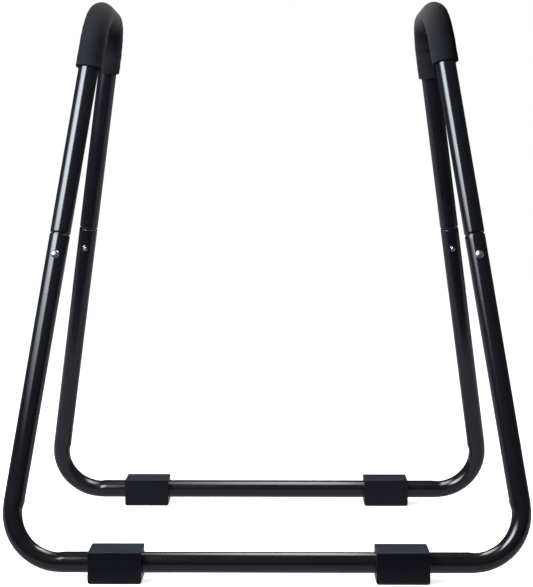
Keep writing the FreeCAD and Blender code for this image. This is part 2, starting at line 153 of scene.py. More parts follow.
TUBE_SIDES = 72
GRIP_SIDES = 96
BOLT_SIDES = 48
WASHER_SIDES = 64
NUT_SIDES = 96
CORNER_STEPS = 5             # in a rounded corner of a section
WASHER_SEAT_RINGS = 6
STRAIGHT_STEP = 40 * MM      # greatest length of a mesh face on a straight run
BORE_STEP = 60 * MM
BORE_BEND_STEP = 6 * MM      # the same in a bend
BASE_BEND_STEP = 1.6 * MM
HANDLE_BEND_STEP = 3 * MM
GRIP_STEP = 2.5 * MM
GRIP_BEND_STEP = 1.6 * MM
GRIP_BORE_STEP = 8 * MM
GRIP_BORE_BEND_STEP = 4 * MM
NEAR_BEND = 14 * MM          # the bend's step holds this far outside it
LEAST_STEP = 0.2 * MM
SHARP_FOOT = math.radians(40)
SHARP_BOLT = math.radians(50)
SHARP_WASHER = math.radians(40)
SHARP_NUT = math.radians(24)

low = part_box("front_base_tube")[0]
bar_z = low.z + TUBE_R
bar_y = -(low.y + TUBE_R)
bolt_low, bolt_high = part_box("front_right_joint_bolt")
handle_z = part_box("left_handle_tube")[1].z - TUBE_R

# plane of a handle: tilt from upright, and spread of its legs
HANDLE_TILT = math.atan(math.tan(LEG_LEAN) / math.cos(FRAME_LEAN))
HANDLE_SPREAD = math.asin(math.cos(LEG_LEAN) * math.sin(FRAME_LEAN))
LEG_LENGTH = LEG_RISE / math.cos(LEG_LEAN)
corner_x = (bolt_low.x + bolt_high.x) / 2 + (LEG_LENGTH - BOLT_DROP) * math.sin(LEG_LEAN)


# ---------------------------------------------------------------- centrelines


class Path:
    """Rounded polyline in a plane, by running length; the ends run on straight."""

    def __init__(self, corners, bend, origin, across, up):
        self.origin, self.across, self.up = (np.array(v, float) for v in (origin, across, up))
        points = [np.array(c, float) for c in corners]
        self.parts = []
        here, at = points[0], 0.0
        for before, corner, after in zip(points, points[1:], points[2:]):
            run = (corner - before) / np.linalg.norm(corner - before)
            leg = (after - corner) / np.linalg.norm(after - corner)
            turn = math.acos(float(np.clip(run @ leg, -1, 1)))
            back = bend * math.tan(turn / 2)
            start = corner - run * back
            length = float(np.linalg.norm(start - here))
            self.parts.append(("line", at, at + length, here, run))
            at += length
            side = np.sign(run[0] * leg[1] - run[1] * leg[0])
            centre = start + bend * side * np.array([-run[1], run[0]])
            self.parts.append(("arc", at, at + bend * turn, centre, (start - centre, side, bend)))
            at += bend * turn
            here = corner + leg * back
            self.side = side
        run = (points[-1] - here) / np.linalg.norm(points[-1] - here)
        self.length = at + float(np.linalg.norm(points[-1] - here))
        self.parts.append(("line", at, self.length, here, run))
        self.bends = [(part[1], part[2]) for part in self.parts if part[0] == "arc"]

    def at(self, s):
        """Point, direction and the normal to the inside of the bends, in space."""
        part = self.parts[0]
        for candidate in self.parts:
            if s >= candidate[1]:
                part = candidate
        kind, start, _, anchor, rest = part
        if kind == "line":
            flat, run = anchor + rest * (s - start), rest
        else:
            arm, side, bend = rest
            angle = side * (s - start) / bend
            c, n = math.cos(angle), math.sin(angle)
            turned = np.array([arm[0] * c - arm[1] * n, arm[0] * n + arm[1] * c])
            flat = anchor + turned
            run = side * np.array([-turned[1], turned[0]]) / bend
        inward = self.side * np.array([-run[1], run[0]])
        place = self.origin + flat[0] * self.across + flat[1] * self.up
        direction = run[0] * self.across + run[1] * self.up
        return place, direction, inward[0] * self.across + inward[1] * self.up


def base_path(end):
    sign = -1 if end == "front" else 1
    up = (0, -sign * math.sin(FRAME_LEAN), math.cos(FRAME_LEAN))
    top_x = corner_x - LEG_RISE * math.tan(LEG_LEAN)
    corners = ((-top_x, LEG_RISE), (-corner_x, 0), (corner_x, 0), (top_x, LEG_RISE))
    return Path(corners, BASE_BEND, (0, sign * bar_y, bar_z), (1, 0, 0), up)


def handle_path(side):
    """Starts at the end of the front spigot and ends at the end of the rear one."""
    sign = -1 if side == "left" else 1
    up = (-sign * math.sin(HANDLE_TILT), 0, math.cos(HANDLE_TILT))
    top = (handle_z - bar_z) / math.cos(HANDLE_TILT)
    start = LEG_LENGTH - SPIGOT_LENGTH
    foot_y = bar_y - start * math.sin(HANDLE_SPREAD)
    corner_y = bar_y - top * math.tan(HANDLE_SPREAD)
    foot_up = start * math.cos(HANDLE_SPREAD)
    corners = ((-foot_y, foot_up), (-corner_y, top), (corner_y, top), (foot_y, foot_up))
    return Path(corners, HANDLE_BEND, (sign * corner_x, 0, bar_z), (0, 1, 0), up)


# ---------------------------------------------------------------- meshes


def smoothstep(edge_0, edge_1, x):
    t = np.clip((x - edge_0) / (edge_1 - edge_0), 0, 1)
    return t * t * (3 - 2 * t)


def round_angles(sides):
    return np.arange(sides) * 2 * math.pi / sides


def quarter_turn(steps):
    return [math.pi / 2 * i / steps for i in range(steps + 1)]


def new_piece(name, verts, faces, body, material, node, sharp=None):
    """Mesh that rides on a body and stands for a node; edges over the angle sharp are hard."""
    mesh = bpy.data.meshes.new(name)
    mesh.from_pydata([tuple(v) for v in verts], [], faces)
    mesh.validate()
    mesh.update()
    mesh.shade_smooth()
    if sharp is not None:
        mesh.set_sharp_from_angle(angle=sharp)
    piece = bpy.data.objects.new(name, mesh)
    bpy.context.scene.collection.objects.link(piece)
    mesh.materials.append(material)
    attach(piece, body)
    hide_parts(node)
    return piece


def ring_faces(rings, sides, closed=True):
    """Quads between rings of points that follow each other, facing out."""
    faces = []
    for i in range(rings if closed else rings - 1):
        following = (i + 1) % rings
        for k in range(sides):
            after = (k + 1) % sides
            faces.append((i * sides + k, i * sides + after,
                          following * sides + after, following * sides + k))
    return faces


def swept(path, rings, sides, shape=None):
    """Points of a closed skin: rings are pairs of running length and radius."""
    angles = round_angles(sides)
    verts = []
    for s, radius in rings:
        place, run, inward = path.at(s)
        binormal = np.cross(run, inward)
        radii = np.full(sides, radius) if shape is None else shape(s, angles, radius)
        spokes = np.cos(angles)[:, None] * inward + np.sin(angles)[:, None] * binormal
        verts.extend(place + radii[:, None] * spokes)
    return verts


def lengths(path, start, end, step_line, step_bend):
    """Running lengths from start to end, closer together in and near the bends."""
    marks = [start]
    while marks[-1] < end - 1e-9:
        s = marks[-1]
        in_bend = any(a - NEAR_BEND <= s + step_bend and s <= b + NEAR_BEND for a, b in path.bends)
        step = step_bend if in_bend else step_line
        if not in_bend:
            for a, _ in path.bends:
                if s < a - NEAR_BEND < s + step:
                    step = a - NEAR_BEND - s
        marks.append(min(s + max(step, LEAST_STEP), end))
    return marks


def rim(end_s, inward, outer, bore, outer_round, inner_round, steps=6):
    """Rings round an open end, from the outside to the bore; inward is +1 or -1 along the path."""
    rings = []
    for a in quarter_turn(steps):
        at = end_s + inward * outer_round * (1 - math.sin(a))
        rings.append((at, outer - outer_round * (1 - math.cos(a))))
    for a in quarter_turn(steps // 2):
        at = end_s + inward * inner_round * (1 - math.cos(a))
        rings.append((at, bore + inner_round * (1 - math.sin(a))))
    return rings


# ---------------------------------------------------------------- materials


def map_range(tree, source, low, high, to_low, to_high, smooth=False):
    """Result of a Map Range node fed by source."""
    node = tree.nodes.new("ShaderNodeMapRange")
    if smooth:
        node.interpolation_type = "SMOOTHSTEP"
    for key, number in (("From Min", low), ("From Max", high), ("To Min", to_low), ("To Max", to_high)):
        node.inputs[key].default_value = number
    tree.links.new(source, node.inputs["Value"])
    return node.outputs["Result"]


def components(tree, vector):
    """Outputs X, Y and Z of a vector."""
    node = tree.nodes.new("ShaderNodeSeparateXYZ")
    tree.links.new(vector, node.inputs[0])
    return node.outputs


class Shade:
    """One procedural material under construction."""

    def __init__(self, name):
        self.material = bpy.data.materials.new(name)
        self.material.use_nodes = True
        self.tree = self.material.node_tree
        self.nodes, self.links = self.tree.nodes, self.tree.links
        self.bsdf = self.nodes["Principled BSDF"]
        self.coords = self.nodes.new("ShaderNodeTexCoord").outputs["Object"]

    def set(self, **values):
        for key, number in values.items():
            self.bsdf.inputs[key.replace("_", " ")].default_value = number
        return self

    def stretched(self, scale):
        node = self.nodes.new("ShaderNodeMapping")
        node.inputs["Scale"].default_value = scale
        self.links.new(self.coords, node.inputs["Vector"])
        return node.outputs["Vector"]

    def noise(self, scale, detail, rough, coords=None):
        node = self.nodes.new("ShaderNodeTexNoise")
        node.inputs["Scale"].default_value = scale
        node.inputs["Detail"].default_value = detail
        node.inputs["Roughness"].default_value = rough
        self.links.new(coords or self.coords, node.inputs["Vector"])
        return node.outputs["Fac"]

    def cells(self, scale, feature="F1"):
        node = self.nodes.new("ShaderNodeTexVoronoi")
        node.feature = feature
        node.inputs["Scale"].default_value = scale
        node.inputs["Randomness"].default_value = 1.0
        self.links.new(self.coords, node.inputs["Vector"])
        return node.outputs["Distance"]

    def spread(self, source, low, high, to_low, to_high):
        return map_range(self.tree, source, low, high, to_low, to_high)

    def math(self, operation, first, second):
        node = self.nodes.new("ShaderNodeMath")
        node.operation = operation
        for socket, source in zip(node.inputs, (first, second)):
            if isinstance(source, (int, float)):
                socket.default_value = source
            else:
                self.links.new(source, socket)
        return node.outputs["Value"]

    def colours(self, source, *stops):
        node = self.nodes.new("ShaderNodeValToRGB")
        ramp = node.color_ramp
        ramp.elements[0].position, ramp.elements[0].color = stops[0][0], (*stops[0][1], 1)
        ramp.elements[1].position, ramp.elements[1].color = stops[-1][0], (*stops[-1][1], 1)
        for place, colour in stops[1:-1]:
            ramp.elements.new(place).color = (*colour, 1)
        self.links.new(source, node.inputs["Fac"])
        return node.outputs["Color"]

    def bump(self, source, depth, strength=1.0, under=None):
        node = self.nodes.new("ShaderNodeBump")
        node.inputs["Distance"].default_value = depth
        node.inputs["Strength"].default_value = strength
        self.links.new(source, node.inputs["Height"])
        if under is not None:
            self.links.new(under, node.inputs["Normal"])
        return node.outputs["Normal"]

    def plug(self, **sources):
        for key, source in sources.items():
            self.links.new(source, self.bsdf.inputs[key.replace("_", " ")])
        return self.material


# colours are linear; a noise's middle values run from about 0.3 to 0.7
NOISE_LOW, NOISE_HIGH = 0.3, 0.7
ENAMEL_DARK = (0.0036, 0.0034, 0.0056)
ENAMEL_PALE = (0.0056, 0.0053, 0.0080)
ENAMEL_ROUGH = (0.15, 0.21)
ENAMEL_SPECK = 0.10          # roughness added by dust in the paint
ENAMEL_PEEL = 0.012 * MM
FOAM_DARK = (0.0048, 0.0048, 0.0066)
FOAM_MIDDLE = (0.0074, 0.0074, 0.0098)
FOAM_PALE = (0.0115, 0.0115, 0.0148)
FOAM_ROUGH = (0.82, 0.97)
FOAM_CELL, FOAM_PORE, FOAM_GRAIN = 0.10 * MM, 0.05 * MM, 0.06 * MM    # depths
RUBBER_DARK = (0.0026, 0.0027, 0.0054)
RUBBER_MIDDLE = (0.0042, 0.0045, 0.0084)
# paler colour for faces that look up: painted light from above
RUBBER_PAINTED_TOP_LIGHT = (0.013, 0.0175, 0.028)
RUBBER_ROUGH = (0.24, 0.36)
RUBBER_DRAG, RUBBER_GRAIN = 0.10 * MM, 0.03 * MM
ZINC_GRAIN = 0.01 * MM


def black_enamel():
    """Glossy stoved paint with a slight orange peel and a few dust specks."""
    shade = Shade("black_enamel").set(Metallic=0.0, IOR=1.5)
    cloud = shade.noise(14, 4, 0.55)
    peel = shade.noise(420, 2, 0.45)
    dust = shade.noise(2600, 2, 0.6)
    specks = shade.spread(dust, 0.70, 0.78, 0.0, ENAMEL_SPECK)
    base = shade.spread(cloud, NOISE_LOW, NOISE_HIGH, *ENAMEL_ROUGH)
    rough = shade.math("ADD", base, specks)
    colour = shade.colours(cloud, (0.25, ENAMEL_DARK), (0.8, ENAMEL_PALE))
    return shade.plug(Base_Color=colour, Roughness=rough, Normal=shade.bump(peel, ENAMEL_PEEL))


def grip_foam():
    """Matt closed-cell foam: cells, the walls between larger pores, and a fine grain."""
    shade = Shade("grip_foam").set(Metallic=0.0, IOR=1.45, Specular_IOR_Level=0.14)
    cells = shade.cells(900)
    pores = shade.cells(420, "DISTANCE_TO_EDGE")
    cloud = shade.noise(35, 5, 0.6)
    grain = shade.noise(1800, 3, 0.65)
    mixed = shade.math("ADD", cloud, shade.math("MULTIPLY", grain, 0.35))
    colour = shade.colours(mixed, (0.45, FOAM_DARK), (0.68, FOAM_MIDDLE), (0.9, FOAM_PALE))
    rough = shade.spread(cloud, NOISE_LOW, NOISE_HIGH, *FOAM_ROUGH)
    normal = shade.bump(cells, FOAM_CELL, 0.7)
    normal = shade.bump(pores, FOAM_PORE, 0.5, normal)
    normal = shade.bump(grain, FOAM_GRAIN, 0.6, normal)
    return shade.plug(Base_Color=colour, Roughness=rough, Normal=normal)


def foot_rubber():
    """Moulded rubber with drag marks along the block, and painted light: a paler colour on faces that look
    up.
    """
    shade = Shade("foot_rubber").set(Metallic=0.0, IOR=1.5, Specular_IOR_Level=0.25)
    drag = shade.noise(70, 4, 0.65, shade.stretched((0.35, 1.0, 9.0)))
    grain = shade.noise(1500, 3, 0.6)
    cloud = shade.noise(22, 4, 0.6)
    # painted light: faces that look up are made paler, as if lit from above
    facing = components(shade.tree, shade.nodes.new("ShaderNodeNewGeometry").outputs["Normal"])["Z"]
    painted_top_light = shade.math("MULTIPLY", shade.spread(facing, 0.6, 1.0, 0.0, 0.5),
                       shade.spread(cloud, NOISE_LOW, NOISE_HIGH, 0.7, 1.1))
    mixed = shade.math("ADD", shade.math("MULTIPLY", cloud, 0.45), painted_top_light)
    colour = shade.colours(mixed, (0.12, RUBBER_DARK), (0.34, RUBBER_MIDDLE), (0.75, RUBBER_PAINTED_TOP_LIGHT))
    rough = shade.math("ADD", shade.spread(drag, NOISE_LOW, NOISE_HIGH, *RUBBER_ROUGH),
                       shade.spread(grain, NOISE_LOW, NOISE_HIGH, 0.0, 0.08))
    normal = shade.bump(drag, RUBBER_DRAG, 0.6)
    normal = shade.bump(grain, RUBBER_GRAIN, 0.6, normal)
    return shade.plug(Base_Color=colour, Roughness=rough, Normal=normal)


def zinc(name, dark, light, rough_low, rough_high):
    """Plated steel with a cloudy tone and fine scratches."""
    shade = Shade(name).set(Metallic=1.0)
    cloud = shade.noise(260, 4, 0.6)
    scratch = shade.noise(900, 3, 0.6, shade.stretched((1.0, 6.0, 1.0)))
    colour = shade.colours(cloud, (0.3, dark), (0.75, light))
    rough = shade.spread(scratch, 0.3, 0.75, rough_low, rough_high)
    return shade.plug(Base_Color=colour, Roughness=rough, Normal=shade.bump(scratch, ZINC_GRAIN, 0.5))


ENAMEL = black_enamel()
FOAM = grip_foam()
RUBBER = foot_rubber()
BRIGHT = zinc("bright_zinc", (0.46, 0.48, 0.53), (0.64, 0.66, 0.70), 0.26, 0.38)
# the nuts' zinc is a darker copy of the bolts': painted shade standing in for the dark surroundings their
# faces reflect
SHADED_NUT_ZINC = zinc("nut_zinc_painted_shade", (0.15, 0.155, 0.17), (0.28, 0.29, 0.32), 0.14, 0.26)
DARK = zinc("dark_zinc", (0.03, 0.03, 0.034), (0.075, 0.075, 0.08), 0.28, 0.5)

# ---------------------------------------------------------------- tubes


def base_shape(path):
    """Section along a base tube: the former leaves a step on the inside of each bend."""

    def shape(s, angles, radius):
        pressed = 0.0
        swell = 0.0
        for index, (start, end) in enumerate(path.bends):
            first, last = (CREASE_RUN, CREASE_RUN_BAR) if index == 0 else (CREASE_RUN_BAR, CREASE_RUN)
            inside = smoothstep(start - first / 2, start + first / 2, s)
            inside *= 1 - smoothstep(end - last / 2, end + last / 2, s)
            pressed += inside
            leg_side = start - SWELL_FROM_BEND if index == 0 else end + SWELL_FROM_BEND
            swell += math.exp(-(((s - leg_side) / SWELL_LENGTH) ** 2))
        facing = np.cos(angles)
        inner = np.clip(facing, 0, 1) ** 1.5
        outer = np.clip(-facing, 0, 1) ** 1.5
        change = pressed * (CREASE_INSIDE * inner + CREASE_OUTSIDE * outer) - SWELL * swell * inner
        return np.full(len(angles), radius) - change

    return shape


def base_tube(end):
    path = base_path(end)
    rings = rim(0, 1, TUBE_R, BORE_R, RIM_ROUND, RIM_INNER)[::-1]
    marks = lengths(path, RIM_ROUND, path.length - RIM_ROUND, STRAIGHT_STEP, BASE_BEND_STEP)
    rings += [(s, TUBE_R) for s in marks[1:-1]]
    rings += rim(path.length, -1, TUBE_R, BORE_R, RIM_ROUND, RIM_INNER)
    inner = lengths(path, RIM_ROUND, path.length - RIM_ROUND, BORE_STEP, BORE_BEND_STEP)
    rings += [(s, BORE_R) for s in inner[::-1]]
    verts = swept(path, rings, TUBE_SIDES, base_shape(path))
    new_piece(f"{end}_base_frame", verts, ring_faces(len(rings), TUBE_SIDES), "frame",
              ENAMEL, f"{end}_base_tube")


def spigot_rings(top):
    """From a spigot's rounded end up its outside and over the shoulder, which starts at top."""
    rings = [(SPIGOT_EDGE * (1 - math.sin(a)), SPIGOT_R - SPIGOT_EDGE * (1 - math.cos(a)))
             for a in quarter_turn(4)][::-1]
    rings += [(SPIGOT_MARK, SPIGOT_R)] + [(top - mark, SPIGOT_R) for mark in SPIGOT_TOP_MARKS]
    for i in range(9):
        t = i / 8
        rounded = SHOULDER * (1 - math.sqrt(max(0.0, 1 - t * t))) * SHOULDER_ROUND
        rings.append((top + rounded + SHOULDER * t * (1 - SHOULDER_ROUND),
                      SPIGOT_R + (TUBE_R - SPIGOT_R) * math.sin(math.pi / 2 * t)))
    return rings


def handle_tube(side):
    path = handle_path(side)
    top = SPIGOT_LENGTH + JOINT_GAP

    def at_far_end(rings):
        return [(path.length - s, radius) for s, radius in rings][::-1]

    spigot = spigot_rings(top)
    bore = [(0.0, SPIGOT_BORE), (top, SPIGOT_BORE), (top + SHOULDER, BORE_R)]
    start, end = top + SHOULDER, path.length - top - SHOULDER
    marks = lengths(path, start, end, STRAIGHT_STEP, HANDLE_BEND_STEP)
    inner = lengths(path, start, end, BORE_STEP, BORE_BEND_STEP)
    rings = spigot + [(s, TUBE_R) for s in marks[1:-1]] + at_far_end(spigot)
    rings += (bore + [(s, BORE_R) for s in inner[1:-1]] + at_far_end(bore))[::-1]
    verts = swept(path, rings, TUBE_SIDES)
    new_piece(f"{side}_handle", verts, ring_faces(len(rings), TUBE_SIDES), "frame",
              ENAMEL, f"{side}_handle_tube")


# ---------------------------------------------------------------- foam grips


def foam_grip(side):
    path = handle_path(side)
    start = path.bends[0][0] - GRIP_LEG + GRIP_OFFSET[side]
    end = path.bends[-1][1] + GRIP_LEG + GRIP_OFFSET[side]
    rng = np.random.default_rng(GRIP_SEED[side])
    waves = [(rng.uniform(*GRIP_WAVES_ALONG), rng.integers(*GRIP_WAVES_ROUND),
              rng.uniform(*GRIP_PHASES), rng.uniform(*GRIP_PHASES)) for _ in range(GRIP_WAVES)]
    wrinkles = [(rng.uniform(*WRINKLE_PLACES), rng.uniform(*WRINKLE_WIDTHS) * MM,
                 rng.uniform(*WRINKLE_DEPTHS) * MM) for _ in range(GRIP_WRINKLES)]

    def shape(s, angles, radius):
        if radius < GRIP_BORE + GRIP_SMOOTH:
            return np.full(len(angles), radius)
        soft = sum(np.sin(a * s * TURN + p) * np.cos(k * angles + q) for a, k, p, q in waves)
        change = GRIP_WAVE_DEPTH * soft
        facing = np.clip(np.cos(angles), 0, 1) ** 2
        within = 0
        for first, last in path.bends:
            middle, half = (first + last) / 2, (last - first) / 2
            for place, width, depth in wrinkles:
                change = change - depth * facing * math.exp(-(((s - middle - place * half) / width) ** 2))
            begun = smoothstep(first - GRIP_PINCH_RUN, first + GRIP_PINCH_RUN, s)
            over = smoothstep(last - GRIP_PINCH_RUN, last + GRIP_PINCH_RUN, s)
            within = within + begun * (1 - over)
        inside = 1 - GRIP_PINCH * within
        return np.minimum((radius + change) * (1 - (1 - inside) * facing), GRIP_R + GRIP_PROUD)

    rings = rim(start, 1, GRIP_R, GRIP_BORE, GRIP_ROUND, GRIP_EDGE, 8)[::-1]
    marks = lengths(path, start + GRIP_ROUND, end - GRIP_ROUND, GRIP_STEP, GRIP_BEND_STEP)
    rings += [(s, GRIP_R) for s in marks[1:-1]]
    rings += rim(end, -1, GRIP_R, GRIP_BORE, GRIP_ROUND, GRIP_EDGE, 8)
    inner = lengths(path, start + GRIP_ROUND, end - GRIP_ROUND, GRIP_BORE_STEP, GRIP_BORE_BEND_STEP)
    rings += [(s, GRIP_BORE) for s in inner[::-1]]
    verts = swept(path, rings, GRIP_SIDES, shape)
    piece = new_piece(f"{side}_grip", verts, ring_faces(len(rings), GRIP_SIDES), "frame",
                      FOAM, f"{side}_foam_grip")


# ---------------------------------------------------------------- rubber feet


def rounded_outline(corners, insets, rounds, counts):
    """Points round a convex polygon: sides drawn in, corners rounded, long sides divided.

    A corner takes less than half of the shorter side next to it.
    """
    total = len(corners)
    lines = []
    for i in range(total):
        corner = np.array(corners[i], float)
        run = np.array(corners[(i + 1) % total], float) - corner
        run = run / np.linalg.norm(run)
        lines.append((corner + insets[i] * np.array([-run[1], run[0]]), run))
    drawn = []
    for i in range(total):
        (p, a), (q, b) = lines[i - 1], lines[i]
        t = ((q - p)[0] * b[1] - (q - p)[1] * b[0]) / (a[0] * b[1] - a[1] * b[0])
        drawn.append(p + t * a)
    arcs = []
    for i in range(total):
        before, here, after = drawn[i - 1], drawn[i], drawn[(i + 1) % total]
        a, b = lines[i - 1][1], lines[i][1]
        turn = math.acos(float(np.clip(a @ b, -1, 1)))
        room = 0.45 * min(np.linalg.norm(here - before), np.linalg.norm(after - here))
        reach = min(rounds[i] * math.tan(turn / 2), room)
        radius = reach / math.tan(turn / 2)
        start = here - a * reach
        centre = start + radius * np.array([-a[1], a[0]])
        arm = start - centre
        arc = []
        for k in range(CORNER_STEPS + 1):
            c, n = math.cos(turn * k / CORNER_STEPS), math.sin(turn * k / CORNER_STEPS)
            arc.append(centre + np.array([arm[0] * c - arm[1] * n, arm[0] * n + arm[1] * c]))
        arcs.append(arc)
    points = []
    for i in range(total):
        points += arcs[i]
        first, last = arcs[i][-1], arcs[(i + 1) % total][0]
        points += [first + (last - first) * k / counts[i] for k in range(1, counts[i])]
    return points


def rubber_foot(end, side):
    node = f"{end}_{side}_foot"
    foot_low, foot_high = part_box(node)
    middle = (foot_low + foot_high) / 2
    half_x, half_y = (foot_high.x - foot_low.x) / 2, (foot_high.y - foot_low.y) / 2
    top = foot_high.z
    grooves = [(place + shift * TREAD_WIDTH, depth * TREAD_DEPTH)
               for place in TREAD_PLACES for shift, depth in TREAD_SHAPE]
    grooves = [(-TREAD_MARGIN, 0), *grooves, (TREAD_MARGIN, 0)]

    def section(x):
        """Outline across the foot at x from its middle."""
        away = half_x - abs(x)
        inset = 0.0
        if away < FOOT_ROUND:
            inset = FOOT_ROUND - math.sqrt(FOOT_ROUND ** 2 - (FOOT_ROUND - away) ** 2)
        lift = FOOT_LIFT * max(0.0, FOOT_CHAMFER - away)
        corners = ((-half_y + FOOT_CHAMFER - lift, lift), (half_y - FOOT_CHAMFER + lift, lift),
                   (half_y, FOOT_CHAMFER), (half_y, top), (-half_y, top), (-half_y, FOOT_CHAMFER))
        insets = (0, inset, inset, inset, inset, inset)
        rounds = (FOOT_EDGE, FOOT_EDGE, FOOT_EDGE, FOOT_ROUND, FOOT_ROUND, FOOT_EDGE)
        points = rounded_outline(corners, insets, rounds, FOOT_DIVISIONS)
        depth = smoothstep(TREAD_END, TREAD_END + TREAD_FADE, away)
        tread = [np.array([y, lift + deep * depth]) for y, deep in grooves]
        points[CORNER_STEPS + 1:CORNER_STEPS + 1] = tread    # after the first corner
        for point in points:
            if point[1] > top - 1e-6 and away > DISH_END:
                share = max(0.0, 1 - (point[0] / (half_y - DISH_SIDE)) ** 2)
                share *= max(0.0, 1 - (x / (half_x - DISH_END)) ** 2)
                point[1] -= FOOT_DISH * share ** 0.5 * smoothstep(0, DISH_FADE, share)
        return [np.array([middle.x + x, middle.y + point[0], point[1]]) for point in points]

    spokes = [np.array([point[1] - middle.y, point[2] - bar_z]) for point in section(0.0)]

    def bore(x, radius):
        arms = [spoke / np.linalg.norm(spoke) * radius for spoke in spokes]
        return [np.array([middle.x + x, middle.y + arm[0], bar_z + arm[1]]) for arm in arms]

    aways = [FOOT_CHAMFER, TREAD_END, TREAD_END + TREAD_FADE, (FOOT_ROUND + FOOT_CHAMFER) / 2]
    aways += [FOOT_ROUND * (1 - math.cos(a)) for a in quarter_turn(6)]
    stations = [half_x * (k / FOOT_STATIONS) for k in range(1 - FOOT_STATIONS, FOOT_STATIONS)]
    stations += [sign * (half_x - away) for sign in (-1, 1) for away in aways]
    mouth = [(FOOT_MOUTH * (1 - math.cos(a)), FOOT_BORE + FOOT_MOUTH * (1 - math.sin(a)))
             for a in quarter_turn(4)]
    rings = [bore(-half_x + away, radius) for away, radius in reversed(mouth)]
    rings += [section(x) for x in sorted(set(round(x, 7) for x in stations))]
    rings += [bore(half_x - away, radius) for away, radius in mouth]
    verts = [point for ring in rings for point in ring]
    new_piece(f"{end}_{side}_rubber_foot", verts, ring_faces(len(rings), len(spokes)),
              f"{end}_{side}_foot_block", RUBBER, node, SHARP_FOOT)


# ---------------------------------------------------------------- bolts, saddle washers and nuts


def bolt_axes(end, side):
    """Point on the leg's axis, and directions across the leg, along it and out of the stand."""
    forward = -1 if end == "front" else 1
    sideways = 1 if side == "right" else -1
    up = np.array([0, -forward * math.sin(FRAME_LEAN), math.cos(FRAME_LEAN)])
    out = np.array([0, forward * math.cos(FRAME_LEAN), math.sin(FRAME_LEAN)])
    leg = np.array([-sideways * math.sin(LEG_LEAN), 0, 0]) + math.cos(LEG_LEAN) * up
    corner = np.array([sideways * corner_x, forward * bar_y, bar_z])
    return corner + (LEG_LENGTH - BOLT_DROP) * leg, np.cross(leg, out), leg, out


def turned(axes, rings, sides, holed):
    """Skin round the bolt's axis: rings are pairs of height and radius, or of their values by angle."""
    origin, across, leg, out = axes
    angles = round_angles(sides)
    verts = []
    for height, radius in rings:
        height, radius = np.broadcast_to(height, sides), np.broadcast_to(radius, sides)
        verts.extend(origin + (radius * np.cos(angles))[:, None] * across
                     + (radius * np.sin(angles))[:, None] * leg + height[:, None] * out)
    faces = ring_faces(len(rings), sides, holed)
    if not holed:
        centre, last = len(verts), len(verts) - sides
        verts += [origin + out * np.mean(rings[0][0]), origin + out * np.mean(rings[-1][0])]
        for k in range(sides):
            after = (k + 1) % sides
            faces.append((centre, after, k))
            faces.append((centre + 1, last + k, last + after))
    return verts, faces


def carriage_bolt(end, side):
    """Threaded end, shank, square neck and dome head, in this order along the axis."""
    angles = round_angles(BOLT_SIDES)
    rings = [(BOLT_TIP, BOLT_TIP_RING), (BOLT_TIP, BOLT_R - BOLT_CHAMFER - BOLT_EDGE),
             (BOLT_TIP + BOLT_EDGE, BOLT_R - BOLT_CHAMFER)]
    height = BOLT_TIP + THREAD_START
    while height < THREAD_TOP:
        turn = (height / THREAD_PITCH - angles / (2 * math.pi)) % 1.0
        fade = 1 - smoothstep(THREAD_TOP - MM, THREAD_TOP, height)
        depth = THREAD_DEPTH * np.abs(2 * turn - 1) * fade
        crest = min(BOLT_R, BOLT_R - BOLT_CHAMFER + (height - BOLT_TIP))
        rings.append((height, np.minimum(crest, BOLT_R - depth)))
        height += THREAD_PITCH / THREAD_RINGS
    square = NECK_HALF / np.maximum(np.abs(np.cos(angles)), np.abs(np.sin(angles)))
    square = np.minimum(square, NECK_CORNER * NECK_HALF)
    rings += [(THREAD_TOP, BOLT_R), (BORE_R, BOLT_R), (BORE_R, square), (TUBE_R, square),
              (TUBE_R, HEAD_R - HEAD_EDGE), (TUBE_R + HEAD_EDGE, HEAD_R),
              (TUBE_R + HEAD_RIM - HEAD_BREAK, HEAD_R)]
    curve = (HEAD_R ** 2 + HEAD_DOME ** 2) / (2 * HEAD_DOME)
    for k in range(1, DOME_RINGS + 1):
        radius = HEAD_R * (1 - (k / (DOME_RINGS + 0.5)) ** DOME_CROWDING) * DOME_SHARE
        height = TUBE_R + HEAD_RIM + math.sqrt(curve ** 2 - radius ** 2) - (curve - HEAD_DOME)
        rings.append((height, radius))
    verts, faces = turned(bolt_axes(end, side), rings, BOLT_SIDES, False)
    new_piece(f"{end}_{side}_bolt", verts, faces, "frame", BRIGHT,
              f"{end}_{side}_joint_bolt", SHARP_BOLT)


def saddle_washer(end, side):
    """Flat under the nut, hollowed to the tube on the other face."""
    angles = round_angles(WASHER_SIDES)

    def seat(radius):
        return -np.sqrt(TUBE_R ** 2 - (radius * np.cos(angles)) ** 2) - WASHER_LIFT

    edge = WASHER_EDGE
    rings = [(WASHER_FACE + edge, WASHER_BORE), (WASHER_FACE, WASHER_BORE + edge),
             (WASHER_FACE, WASHER_R - edge), (WASHER_FACE + 0.3 * edge, WASHER_R - 0.3 * edge),
             (WASHER_FACE + edge, WASHER_R), (seat(WASHER_R) - 0.5 * edge, WASHER_R)]
    radii = np.linspace(WASHER_R - 0.5 * edge, WASHER_BORE, WASHER_SEAT_RINGS)
    rings += [(seat(radius), radius) for radius in radii]
    verts, faces = turned(bolt_axes(end, side), rings, WASHER_SIDES, True)
    new_piece(f"{end}_{side}_saddle_washer", verts, faces, "frame", DARK,
              f"{end}_{side}_joint_washer", SHARP_WASHER)


